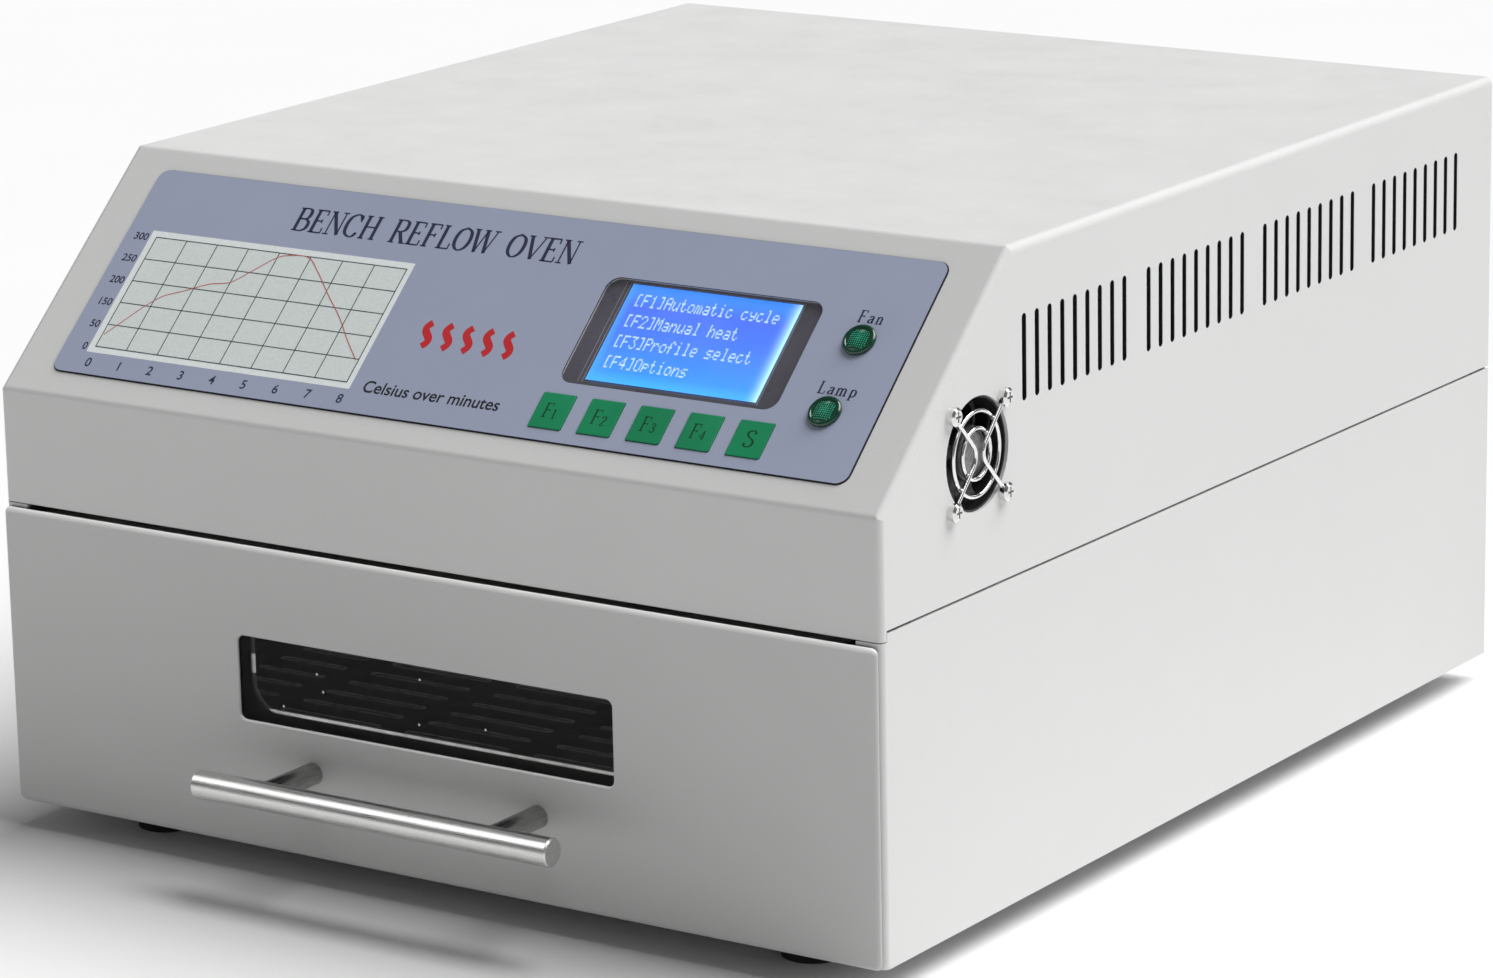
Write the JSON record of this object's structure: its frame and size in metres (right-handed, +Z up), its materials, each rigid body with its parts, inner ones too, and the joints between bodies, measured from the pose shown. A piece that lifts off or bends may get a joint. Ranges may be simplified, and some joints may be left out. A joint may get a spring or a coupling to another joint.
{
  "type": "infrared reflow oven",
  "caption": "Bench-top infrared reflow oven: folded steel case with a sloping control panel, side and rear fans, and a pull-out drawer with a window and slotted tray.",
  "frame": {"origin": "middle of the oven's outline at the height of the feet's undersides", "axes": "+Z up; the drawer front faces -Y and the drawer pulls out along -Y; +X is the oven's right as seen from the front"},
  "size_m": [0.3729, 0.471, 0.2356],
  "materials": {
    "case_paint": "fine textured powder coat",
    "frame_paint": "matt black paint",
    "zinc_steel": "zinc plated",
    "liner_steel": "plain, heat tinted",
    "tray_steel": "darkened by heat",
    "handle_steel": "brushed along the bar",
    "screw_steel": "nickel plated",
    "guard_wire": "bright plated",
    "pin_metal": "nickel plated",
    "rubber": "matt",
    "overlay_print": "satin printed film",
    "lcd_pane": "clear, glossy",
    "lcd_blue": "back-lit blue",
    "bezel_plastic": "dark grey",
    "circuit_board": "green solder mask",
    "black_plastic": "moulded",
    "rocker_plastic": "moulded",
    "brass": "turned",
    "lamp_green": "translucent",
    "component_blue": "moulded and sleeved",
    "aluminium": "extruded",
    "core_steel": "varnished laminations",
    "copper_wire": "enamelled copper",
    "insulation": "ceramic fibre",
    "quartz": "clear quartz",
    "filament": "resistance wire",
    "ceramic": "glazed",
    "window_glass": "heat-resistant, dark tinted",
    "key_green": "satin embossed film"
  },
  "bodies": {
    "case": {"base_tray": "case_paint", "top_cover": "case_paint", "rear_panel": "case_paint", "deck_plate": "zinc_steel", "feet": "rubber", "foot_screws": "screw_steel", "case_screws": "screw_steel", "control_overlay": "overlay_print", "lcd_window": "lcd_pane", "lcd_bezel": "bezel_plastic", "lcd_display": "lcd_blue", "control_board": "circuit_board", "key_switches": "black_plastic", "board_standoffs": "brass", "indicator_lenses": "lamp_green", "power_board": "circuit_board", "board_parts": "component_blue", "heat_sink": "aluminium", "transformer_core": "core_steel", "transformer_coil": "copper_wire", "side_fan_frame": "black_plastic", "side_fan_guard": "guard_wire", "fan_screws": "screw_steel", "fan_nuts": "screw_steel", "exhaust_fan_frame": "black_plastic", "exhaust_fan_guard": "guard_wire", "power_inlet": "black_plastic", "inlet_pins": "pin_metal", "switch_frame": "black_plastic", "chamber_hood": "liner_steel", "hood_insulation": "insulation", "hood_spacers": "screw_steel", "floor_insulation": "insulation", "heater_tubes": "quartz", "heater_filaments": "filament", "lamp_end_caps": "ceramic", "thermocouples": "screw_steel", "slide_brackets": "zinc_steel", "slide_outer": "zinc_steel"},
    "drawer": {"drawer_front": "case_paint", "window_glass": "window_glass", "window_frame": "frame_paint", "inner_panel": "liner_steel", "drawer_pan": "liner_steel", "tray_floor": "tray_steel", "door_seal": "insulation", "slide_inner": "zinc_steel", "handle_bar": "handle_steel", "handle_posts": "handle_steel", "handle_screws": "screw_steel"},
    "slide_middle": {"slide_middle": "zinc_steel"},
    "key_f1": {"key_f1": "key_green"},
    "key_f2": {"key_f2": "key_green"},
    "key_f3": {"key_f3": "key_green"},
    "key_f4": {"key_f4": "key_green"},
    "key_s": {"key_s": "key_green"},
    "power_rocker": {"power_rocker": "rocker_plastic"},
    "side_fan_rotor": {"side_fan_rotor": "black_plastic"},
    "exhaust_fan_rotor": {"exhaust_fan_rotor": "black_plastic"},
    "fuse_drawer": {"fuse_drawer": "black_plastic"}
  },
  "joints": [
    {"name": "drawer_slide", "type": "slide", "parent": "case", "child": "drawer", "axis": [0, -1, 0], "range_m": [0, 0.3]},
    {"name": "middle_slide", "type": "slide", "parent": "case", "child": "slide_middle", "axis": [0, -1, 0], "range_m": [0, 0.15]},
    {"name": "key_f1_press", "type": "slide", "parent": "case", "child": "key_f1", "axis": [0, 0.6739, -0.7389], "range_m": [0, 0.0005], "stiffness_N_per_m": 3000, "springref_m": -0.0002},
    {"name": "key_f2_press", "type": "slide", "parent": "case", "child": "key_f2", "axis": [0, 0.6739, -0.7389], "range_m": [0, 0.0005], "stiffness_N_per_m": 3000, "springref_m": -0.0002},
    {"name": "key_f3_press", "type": "slide", "parent": "case", "child": "key_f3", "axis": [0, 0.6739, -0.7389], "range_m": [0, 0.0005], "stiffness_N_per_m": 3000, "springref_m": -0.0002},
    {"name": "key_f4_press", "type": "slide", "parent": "case", "child": "key_f4", "axis": [0, 0.6739, -0.7389], "range_m": [0, 0.0005], "stiffness_N_per_m": 3000, "springref_m": -0.0002},
    {"name": "key_s_press", "type": "slide", "parent": "case", "child": "key_s", "axis": [0, 0.6739, -0.7389], "range_m": [0, 0.0005], "stiffness_N_per_m": 3000, "springref_m": -0.0002},
    {"name": "power_rocker_tilt", "type": "hinge", "parent": "case", "child": "power_rocker", "pos_m": [0.132, 0.22515, 0.094], "axis": [1, 0, 0], "range_deg": [0, 18]},
    {"name": "side_fan_spin", "type": "hinge", "parent": "case", "child": "side_fan_rotor", "pos_m": [0.18, -0.13965, 0.1703], "axis": [1, 0, 0], "continuous": true},
    {"name": "exhaust_fan_spin", "type": "hinge", "parent": "case", "child": "exhaust_fan_rotor", "pos_m": [0, 0.22115, 0.08], "axis": [0, 1, 0], "continuous": true},
    {"name": "fuse_drawer_slide", "type": "slide", "parent": "case", "child": "fuse_drawer", "axis": [0, 1, 0], "range_m": [0, 0.02]}
  ],
  "couplings": [
    {"joint": "middle_slide", "follows": "drawer_slide", "ratio": 0.5}
  ]
}
